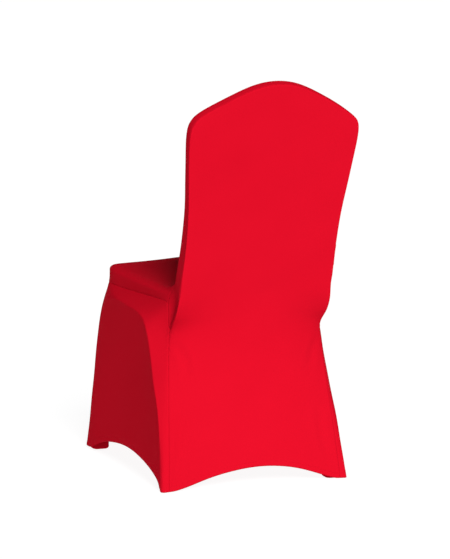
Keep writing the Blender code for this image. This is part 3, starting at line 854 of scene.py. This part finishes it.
@dataclass
class Sewing:
    """Sizes of the sewn edges."""

    thickness: float = 0.0009
    seam_gap: float = 0.00014
    allowance: float = 0.0045               # seam allowance turned inward
    allowance_rows: Row = (0.2, 0.6, 1.0)   # shares of it
    fold_gap: float = 0.0021                # from the hem's face to its turned-in layer
    fold_nose: float = 0.8                  # how far the fold stands out, as a share of half the gap
    fold_rows: int = 4
    row_grain: float = 0.002                # length of knit on each turned-in row


class PanelSheet:
    """One panel as a thin sheet, with seam allowances and a turned-in hem."""

    def __init__(self, skin: Skin, panel: Panel, sewing: Sewing) -> None:
        """Takes the panel's own faces out of the skin.

        Args:
            skin: The whole skin, with its relief.
            panel: Which panel.
            sewing: Sizes of its edges.
        """
        self.skin = skin
        self.panel = panel
        self.sewing = sewing
        mine = skin.marks == PANELS.index(panel)
        self.used, faces = np.unique(skin.faces[mine].ravel(), return_inverse=True)
        self.faces = faces.reshape(-1, 4)
        self.grain = skin.grain[mine]
        self.points = skin.points[self.used]
        self.normals = skin.normals[self.used]
        self.edges = self.open_edges()

    def open_edges(self) -> dict[Edge, np.ndarray]:
        """The panel's open edges in the order of their faces, by how they end."""
        start, end, key = face_edges(self.faces)
        _, first, many = np.unique(key, return_index=True, return_counts=True)
        lone = first[many == 1]
        edges = np.stack((start[lone], end[lone]), axis=1)
        hems = {tuple(sorted(edge)) for edge in self.skin.hem_edges.tolist()}
        is_hem = np.array([tuple(sorted(edge)) in hems for edge in self.used[edges].tolist()])
        return {Edge.HEM: edges[is_hem], Edge.SEAM: edges[~is_hem]}

    def inward(self, edges: np.ndarray) -> dict[int, np.ndarray]:
        """For each point of these edges, the direction in the cloth that leads off the edge."""
        found: dict[int, np.ndarray] = {}
        for start, end in edges:
            along = unit(self.points[end] - self.points[start])
            for at in (int(start), int(end)):
                away = np.cross(self.normals[at], along)
                found[at] = found.get(at, np.zeros(3)) + away
        return {at: unit(away) for at, away in found.items()}

    def on_cloth(self, target: np.ndarray, depth: float = 0.0) -> tuple[np.ndarray, np.ndarray]:
        """The place by a target that lies this deep under the cloth's face, and the normal there."""
        _, near, _ = self.tree.find(target)
        normal = self.normals[near]
        lift = (self.points[near] - target) @ normal
        return target + normal * (lift - depth), normal

    def build(self) -> bpy.types.Object:
        """Makes the sheet, adds its edges and gives it its thickness."""
        sewing = self.sewing
        hem_way = self.inward(self.edges[Edge.HEM])
        chains: dict[Edge, dict[int, list[np.ndarray]]] = {Edge.SEAM: {}, Edge.HEM: {}}
        for at, away in self.inward(self.edges[Edge.SEAM]).items():
            self.points[at] += away * (sewing.seam_gap / 2.0)
            down = -self.normals[at] * sewing.allowance
            chains[Edge.SEAM][at] = [self.points[at] + down * share
                                     for share in sewing.allowance_rows]
        self.tree = tree_of(self.points)
        half = sewing.fold_gap / 2.0
        for at, away in hem_way.items():
            here, normal = self.points[at], self.normals[at]
            chain = [here - normal * half - away * half * sewing.fold_nose,
                     here - normal * sewing.fold_gap]
            for row in range(1, sewing.fold_rows + 1):
                target = here + away * (HEM_HEIGHT * row / sewing.fold_rows)
                chain.append(self.on_cloth(target, sewing.fold_gap)[0])
            chains[Edge.HEM][at] = chain
        return self.join(chains)

    def join(self, chains: dict[Edge, dict[int, list[np.ndarray]]]) -> bpy.types.Object:
        """Joins the turned-in rows onto the sheet and thickens it."""
        points = list(self.points)
        faces = self.faces.tolist()
        grain = list(self.grain.reshape(-1, 2))
        at_grain = dict(zip(self.faces.ravel().tolist(), grain))
        step = np.array((0.0, self.sewing.row_grain))
        for kind, chain in chains.items():
            index = {}
            for at, rows in chain.items():
                index[at] = [at] + list(range(len(points), len(points) + len(rows)))
                points += rows
            for start, end in self.edges[kind].tolist():
                first, last = index[start], index[end]
                for row in range(len(first) - 1):
                    faces.append([last[row], first[row], first[row + 1], last[row + 1]])
                    near, far = at_grain[start] + step * row, at_grain[end] + step * row
                    grain += [far, near, near + step, far + step]
        mesh = bpy.data.meshes.new(self.panel.value + "_cloth")
        mesh.from_pydata(np.array(points).tolist(), [], faces)
        mesh.uv_layers.new(name="grain").data.foreach_set("uv", np.array(grain, dtype=float).ravel())
        self.add_distance(mesh, "seam_gap", self.skin.seam_gap)
        self.add_distance(mesh, "hem_gap", self.skin.hem_gap)
        mesh.shade_smooth()
        sheet = link(mesh.name, mesh)
        apply_modifier(sheet, "SOLIDIFY", thickness=self.sewing.thickness, offset=-1.0,
                       use_even_offset=False)
        return sheet

    def add_distance(self, mesh: bpy.types.Mesh, name: str, gaps: np.ndarray) -> None:
        """Writes a distance to the panel's points, with 0 for what is turned in."""
        # the cloth's painted shade is strongest where this distance is 0, so the turned-in layers get
        # it in full
        values = np.zeros(len(mesh.vertices), dtype=np.float32)
        values[:len(self.used)] = gaps[self.used]
        mesh.attributes.new(name, "FLOAT", "POINT").data.foreach_set("value", values)


class Finish:
    """A new material, to which nodes are added behind its shader."""

    def __init__(self, name: str) -> None:
        """Makes the material with its shader only."""
        self.material = bpy.data.materials.new(name)
        self.material.use_nodes = True
        self.tree = self.material.node_tree
        self.shader = self.tree.nodes["Principled BSDF"]

    def add(self, kind: str, inputs: dict[str | int, object], **settings: object) -> bpy.types.Node:
        """Adds a node of this kind, with its settings and inputs."""
        node = self.tree.nodes.new(kind)
        for name, value in settings.items():
            setattr(node, name, value)
        self.feed(node, inputs)
        return node

    def feed(self, node: bpy.types.Node, inputs: dict[str | int, object]) -> None:
        """Links the inputs that come from another node and sets the rest."""
        for name, value in inputs.items():
            if isinstance(value, bpy.types.NodeSocket):
                self.tree.links.new(value, node.inputs[name])
            else:
                node.inputs[name].default_value = value

    def wave(self, pitch: float, place: bpy.types.NodeSocket, direction: str,
             inputs: dict[str | int, object]) -> bpy.types.NodeSocket:
        """Adds waves of this pitch, in metres."""
        scale = 2.0 * math.pi / (WAVE_TURN * pitch)
        node = self.add("ShaderNodeTexWave", {"Scale": scale, "Vector": place, **inputs},
                        bands_direction=direction)
        return node.outputs["Fac"]

    def bump(self, height: bpy.types.NodeSocket, distance: float,
             strength: float) -> bpy.types.NodeSocket:
        """Adds a bump of this height, in metres."""
        node = self.add("ShaderNodeBump",
                        {"Distance": distance, "Strength": strength, "Height": height})
        return node.outputs["Normal"]


@dataclass(frozen=True)
class StretchCloth:
    """Bright red knitted stretch cloth with a satin face."""

    name: str = "red_stretch_satin"
    deep: Row = (0.475, 0.0029, 0.0127)
    bright: Row = (0.505, 0.0035, 0.0145)
    drift_scale: float = 7.0
    drift_detail: float = 2.0
    # painted shade: a darker red mixed in where seam valleys, hem edges and turned-in layers lie in
    # shade
    painted_crease_shade: Row = (0.300, 0.0010, 0.0060)
    # attribute with the distance to an edge, reach of the painted shade off that edge, its strength
    # there
    painted_edge_shades: tuple[tuple[str, float, float], ...] = (
        ("seam_gap", 0.0012, 0.15), ("hem_gap", 0.0020, 0.35),
    )
    sheen_tint: Row = (1.0, 0.25, 0.32)
    sheen_roughness: float = 0.45
    roughness: float = 0.48
    sheen: float = 0.002
    specular: float = 0.0006
    wale: float = 0.0011            # pitch of the knit's ribs
    course: float = 0.0008          # pitch of its rows
    knit_height: float = 0.00006
    knit_strength: float = 0.6
    knit_distortion: float = 0.4

    def material(self) -> bpy.types.Material:
        """Builds the node material."""
        finish = Finish(self.name)
        finish.feed(finish.shader, {
            "Roughness": self.roughness, "Specular IOR Level": self.specular,
            "Sheen Weight": self.sheen, "Sheen Roughness": self.sheen_roughness,
            "Sheen Tint": (*self.sheen_tint, 1.0),
            "Base Color": self.colour(finish), "Normal": self.knit(finish),
        })
        return finish.material

    def colour(self, finish: Finish) -> bpy.types.NodeSocket:
        """Two close reds that drift over the cloth, with painted shade darkening it right at seams, at
        hem edges and on the turned-in layers.
        """
        place = finish.add("ShaderNodeTexCoord", {})
        drift = finish.add("ShaderNodeTexNoise", {
            "Scale": self.drift_scale, "Detail": self.drift_detail,
            "Vector": place.outputs["Object"],
        })
        last = finish.add("ShaderNodeMix", {
            "A": (*self.deep, 1.0), "B": (*self.bright, 1.0), "Factor": drift.outputs["Fac"],
        }, data_type="RGBA")
        # mixes the painted shade in near each seam and hem edge
        for attribute, reach, strength in self.painted_edge_shades:
            gap = finish.add("ShaderNodeAttribute", {}, attribute_name=attribute)
            near = finish.add("ShaderNodeMapRange", {
                "From Max": reach, "To Min": strength, "To Max": 0.0, "Value": gap.outputs["Fac"],
            }, interpolation_type="SMOOTHSTEP")
            last = finish.add("ShaderNodeMix", {
                "A": last.outputs["Result"], "B": (*self.painted_crease_shade, 1.0),
                "Factor": near.outputs["Result"],
            }, data_type="RGBA")
        return last.outputs["Result"]

    def knit(self, finish: Finish) -> bpy.types.NodeSocket:
        """Fine ribs crossed by finer rows, as bump on the cloth's own grain."""
        grain = finish.add("ShaderNodeUVMap", {}, uv_map="grain").outputs["UV"]
        look = {"Distortion": self.knit_distortion, "Detail": 0.0}
        ribs = finish.wave(self.wale, grain, "X", look)
        rows = finish.wave(self.course, grain, "Y", look)
        crossed = finish.add("ShaderNodeMath", {0: ribs, 1: rows}, operation="MULTIPLY")
        return finish.bump(crossed.outputs["Value"], self.knit_height, self.knit_strength)


@dataclass
class HemStitches:
    """A row of short thread stitches along a panel's hem."""

    sheet: PanelSheet
    pitch: float = 0.0034
    length: float = 0.0024
    radius: float = 0.00024
    first_place: float = 0.75       # middle of the first stitch, in pitches from the hem's start
    # share of the length and of the radius, ring by ring along one stitch
    rings: tuple[Row, ...] = ((0.0, 0.35), (0.25, 1.0), (0.75, 1.0), (1.0, 0.35))
    sunk: float = 0.7               # how deep the underside lies in the cloth, as a share of the radius
    sides: int = 6

    def line(self) -> tuple[np.ndarray, np.ndarray]:
        """Points and normals along the stitch row, in order along the open hem."""
        edges = self.sheet.edges[Edge.HEM]
        way = self.sheet.inward(edges)
        after = dict(edges.tolist())
        ends = set(after.values())
        at = next(start for start in after if start not in ends)
        found = []
        while at is not None:
            target = self.sheet.points[at] + way[at] * (STITCH_LINE * HEM_HEIGHT)
            found.append(self.sheet.on_cloth(target))
            at = after.get(at)
        places, normals = (np.array(rows) for rows in zip(*found))
        return places, normals

    def build(self) -> bpy.types.Object:
        """Lays the stitches and joins them as one mesh."""
        places, normals = self.line()
        run = lengths(places)
        count = int(run[-1] / self.pitch) - 1
        turns = 2.0 * math.pi * np.arange(self.sides) / self.sides
        around = range(self.sides)
        points: list[np.ndarray] = []
        faces: list[list[int]] = []
        for centre in (np.arange(count) + self.first_place) * self.pitch:
            start, end = (between(places, run, centre + half)
                          for half in (-self.length / 2.0, self.length / 2.0))
            normal = unit(between(normals, run, centre))
            beside = np.cross(unit(end - start), normal)
            first = len(points)
            for share, size in self.rings:
                middle = start + (end - start) * share
                middle = middle + normal * self.radius * (size - self.sunk)
                for turn in turns:
                    way = beside * math.cos(turn) + normal * math.sin(turn)
                    points.append(middle + way * self.radius * size)
            for row in range(len(self.rings) - 1):
                for side in around:
                    here = first + row * self.sides + side
                    beyond = first + row * self.sides + (side + 1) % self.sides
                    faces.append([here, beyond, beyond + self.sides, here + self.sides])
            last = len(points) - self.sides
            faces.append([first + side for side in reversed(around)])
            faces.append([last + side for side in around])
        mesh = bpy.data.meshes.new(self.sheet.panel.value + "_hem_stitches")
        mesh.from_pydata(np.array(points).tolist(), [], faces)
        mesh.shade_smooth()
        thing = link(mesh.name, mesh)
        with edit_mode(thing):
            bpy.ops.mesh.normals_make_consistent(inside=False)
        return thing


@dataclass(frozen=True)
class Thread:
    """Sewing thread in the cloth's red."""

    name: str = "red_sewing_thread"
    colour: Row = (0.46, 0.003, 0.012)
    roughness: float = 0.55
    specular: float = 0.02
    twist_pitch: float = 0.0006
    twist_height: float = 0.00005

    def material(self) -> bpy.types.Material:
        """Builds the node material, with the twist as bump."""
        finish = Finish(self.name)
        place = finish.add("ShaderNodeTexCoord", {}).outputs["Object"]
        twist = finish.wave(self.twist_pitch, place, "DIAGONAL", {})
        finish.feed(finish.shader, {
            "Base Color": (*self.colour, 1.0), "Roughness": self.roughness,
            "Specular IOR Level": self.specular,
            "Normal": finish.bump(twist, self.twist_height, 1.0),
        })
        return finish.material


@dataclass
class FootPocket:
    """A small cup of cloth under one foot."""

    node: str
    wall: float = 0.0011
    corner: float = 0.0130
    corner_steps: int = 4
    sole_corner: float = 0.0060
    sole_steps: int = 3
    cuts: int = 2                   # of each face, once the corners are round

    def build(self) -> bpy.types.Object:
        """Shapes the cup out of a box without a lid, at its solid's place and size."""
        low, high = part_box(self.node)
        size = [top - bottom for bottom, top in zip(low, high)]
        middle = [(bottom + top) / 2 for bottom, top in zip(low, high)]
        bpy.ops.object.select_all(action="DESELECT")
        bpy.ops.mesh.primitive_cube_add(size=1.0, location=middle, scale=size)
        pocket = bpy.context.active_object
        pocket.name = pocket.data.name = self.node + "_cloth"
        bpy.ops.object.transform_apply(location=True, rotation=True, scale=True)
        with self.picked(pocket, Kind.FACES, lambda face: abs(face.center.z - high[2]) < MERGE):
            bpy.ops.mesh.delete(type="FACE")
        self.bevel(pocket, lambda a, b: abs(a.z - b.z) > size[2] / 2, self.corner,
                   self.corner_steps)
        self.bevel(pocket, lambda a, b: max(a.z, b.z) < low[2] + MERGE, self.sole_corner,
                   self.sole_steps)
        with edit_mode(pocket):
            bpy.ops.mesh.subdivide(number_cuts=self.cuts)
        pocket.data.shade_smooth()
        apply_modifier(pocket, "SOLIDIFY", thickness=self.wall, offset=-1.0)
        return pocket

    @staticmethod
    @contextmanager
    def picked(pocket: bpy.types.Object, kind: Kind, wanted: Callable[..., bool]) -> Iterator[None]:
        """Edit mode with only the faces or edges selected that pass the test."""
        mesh = pocket.data
        for group in (mesh.vertices, mesh.edges, mesh.polygons):
            group.foreach_set("select", [False] * len(group))
        for part in (mesh.polygons if kind is Kind.FACES else mesh.edges):
            part.select = wanted(part)
        bpy.context.tool_settings.mesh_select_mode = (False, kind is Kind.EDGES, kind is Kind.FACES)
        bpy.ops.object.mode_set(mode="EDIT")
        yield
        bpy.ops.object.mode_set(mode="OBJECT")

    def bevel(self, pocket: bpy.types.Object, wanted: Callable[[Vector, Vector], bool],
              offset: float, segments: int) -> None:
        """Rounds the edges whose two ends pass the test."""
        points = pocket.data.vertices

        def passes(edge: bpy.types.MeshEdge) -> bool:
            """Whether the edge's ends pass."""
            return wanted(*(points[index].co for index in edge.vertices))

        with self.picked(pocket, Kind.EDGES, passes):
            bpy.ops.mesh.bevel(offset=offset, segments=segments)


@dataclass(frozen=True)
class Light:
    """A soft distant light."""

    name: str
    azimuth: float          # where it stands, in degrees from +Y towards +X
    elevation: float        # its height above the horizon, in degrees
    strength: float
    spread: float           # its width in the sky, in degrees

    def build(self) -> None:
        """Adds it to the scene."""
        data = bpy.data.lights.new(self.name, "SUN")
        data.energy = self.strength
        data.angle = math.radians(self.spread)
        turn, rise = math.radians(self.azimuth), math.radians(self.elevation)
        way = Vector((math.sin(turn) * math.cos(rise), math.cos(turn) * math.cos(rise),
                      math.sin(rise)))
        link(self.name, data).rotation_euler = way.to_track_quat("Z", "Y").to_euler()


@dataclass
class Studio:
    """Camera, floor and light of the photograph."""

    turn: float = math.radians(21.45)       # of the camera from straight behind, to +X
    distance: float = 6.399                 # of the camera from the tables' zero, level
    height: float = 1.3182                  # of the camera
    focal_pixels: float = 2688.0            # focal length in pixels of the photograph
    target_right: float = 0.0208            # point that it looks at, right of the middle
    target_height: float = 0.4542
    sensor: float = 36.0                    # millimetres
    floor_size: float = 240.0
    floor_colour: Row = (0.12, 0.12, 0.12)
    floor_roughness: float = 0.9
    floor_glow: float = 0.93                # the floor is lit from below, as in a light tent
    sky: float = 0.12
    lights: tuple[Light, ...] = (
        Light("key", azimuth=7.5, elevation=31.0, strength=4.25, spread=22.0),
        Light("fill", azimuth=200.0, elevation=25.0, strength=0.20, spread=60.0),
    )

    def camera(self) -> None:
        """Places the camera at the photograph's angle."""
        shift = Vector((0.0, FRAME_SHIFT_Y, 0.0))
        right = Vector((-math.cos(self.turn), math.sin(self.turn), 0.0))
        place = Vector((math.sin(self.turn) * self.distance, math.cos(self.turn) * self.distance,
                        self.height)) + shift
        target = right * self.target_right + Vector((0.0, 0.0, self.target_height)) + shift
        data = bpy.data.cameras.new("photo_camera")
        data.sensor_width = self.sensor
        data.lens = self.focal_pixels / PHOTO_HEIGHT * self.sensor
        camera = link("photo_camera", data)
        camera.location = place
        camera.rotation_euler = (target - place).to_track_quat("-Z", "Y").to_euler()
        bpy.context.scene.camera = camera

    def floor(self) -> None:
        """Lays a plain pale floor."""
        bpy.ops.object.select_all(action="DESELECT")
        bpy.ops.mesh.primitive_plane_add(size=self.floor_size)
        floor = bpy.context.active_object
        floor.name = "studio_floor"
        finish = Finish("pale_floor")
        finish.feed(finish.shader, {
            "Base Color": (*self.floor_colour, 1.0), "Roughness": self.floor_roughness,
            "Specular IOR Level": 0.0, "Emission Color": WHITE,
            "Emission Strength": self.floor_glow,
        })
        floor.data.materials.append(finish.material)

    def build(self) -> None:
        """Sets up the whole studio."""
        scene = bpy.context.scene
        scene.view_settings.view_transform = "Standard"
        world = bpy.data.worlds.new("studio")
        world.use_nodes = True
        sky = world.node_tree.nodes["Background"]
        sky.inputs["Color"].default_value = WHITE
        sky.inputs["Strength"].default_value = self.sky
        scene.world = world
        self.camera()
        self.floor()
        for light in self.lights:
            light.build()


@dataclass(frozen=True)
class Cut:
    """What a piece was cut to before it was stretched."""

    width: float
    length: float
    area: float


CUTS = {
    Panel.BACK: Cut(0.390, 0.880, 0.300),
    Panel.INSIDE: Cut(0.450, 0.560, 0.195),
    Panel.SEAT: Cut(0.430, 0.450, 0.175),
    Panel.SIDE_LEFT: Cut(0.520, 0.430, 0.170),
    Panel.SIDE_RIGHT: Cut(0.520, 0.430, 0.170),
    Panel.FRONT: Cut(0.380, 0.420, 0.146),
}


@dataclass
class ChairCover:
    """The whole cover."""

    levels: int = 4
    quick_levels: int = 3
    # path of a pull fold on the back panel, its half width and its depth
    pulls: tuple[tuple[tuple[Row, ...], float, float], ...] = (
        (((0.178, 0.150, 0.352), (0.158, 0.172, 0.300), (0.150, 0.182, 0.235)), 0.010, 0.0016),
        (((-0.178, 0.150, 0.352), (-0.160, 0.172, 0.305), (-0.148, 0.180, 0.245)), 0.011, 0.0013),
        (((0.200, 0.215, 0.020), (0.183, 0.205, 0.100), (0.176, 0.190, 0.190)), 0.009, 0.0012),
        (((-0.198, 0.215, 0.020), (-0.176, 0.205, 0.095), (-0.168, 0.190, 0.185)), 0.010, 0.0014),
    )
    # side panel at the back panel's gathered seam, and how far the puckers there lean
    gathers: tuple[tuple[Panel, float], ...] = ((Panel.SIDE_LEFT, 0.6), (Panel.SIDE_RIGHT, 0.5))

    def relief(self) -> Relief:
        """Seams, hems, puckers and tension folds."""
        creases = (Crease(path, (Panel.BACK,), width, depth) for path, width, depth in self.pulls)
        puckers = (Puckers((Panel.BACK, side), low=0.270, high=0.372, pitch=0.0105, depth=0.0007,
                           reach=0.0090, slant=slant) for side, slant in self.gathers)
        return Relief(creases=tuple(creases), puckers=tuple(puckers))

    def build(self) -> None:
        """Builds and dresses every piece."""
        cloth = StretchCloth().material()
        thread = Thread().material()
        cage = Cage(Backrest(), Seat(), SidePanel(), FrontSkirt())
        skin = Skin(cage, self.levels)
        skin.raise_relief(self.relief())
        sewing = Sewing()
        for panel, cut in CUTS.items():
            sheet = PanelSheet(skin, panel, sewing)
            piece = sheet.build()
            self.dress(piece, cloth, panel.value)
            if len(sheet.edges[Edge.HEM]):
                stitches = HemStitches(sheet).build()
                self.dress(stitches, thread)
        for place in ("front", "rear"):
            for hand in ("left", "right"):
                node = f"foot_pocket_{place}_{hand}"
                pocket = FootPocket(node).build()
                self.dress(pocket, cloth, node)

    @staticmethod
    def dress(piece: bpy.types.Object, material: bpy.types.Material, node: str | None = None) -> None:
        """Gives a piece its finish and its body, and hides the solid that it stands for."""
        piece.data.materials.clear()
        piece.data.materials.append(material)
        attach(piece, "root")
        if node is not None:
            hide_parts(node)
        log.info("%s: %d faces", piece.name, len(piece.data.polygons))


def main() -> None:
    """Builds the studio and the cover."""
    logging.basicConfig(level=logging.INFO, format="%(name)s: %(message)s")
    Studio().build()
    ChairCover().build()


if __name__ == "__main__":
    main()
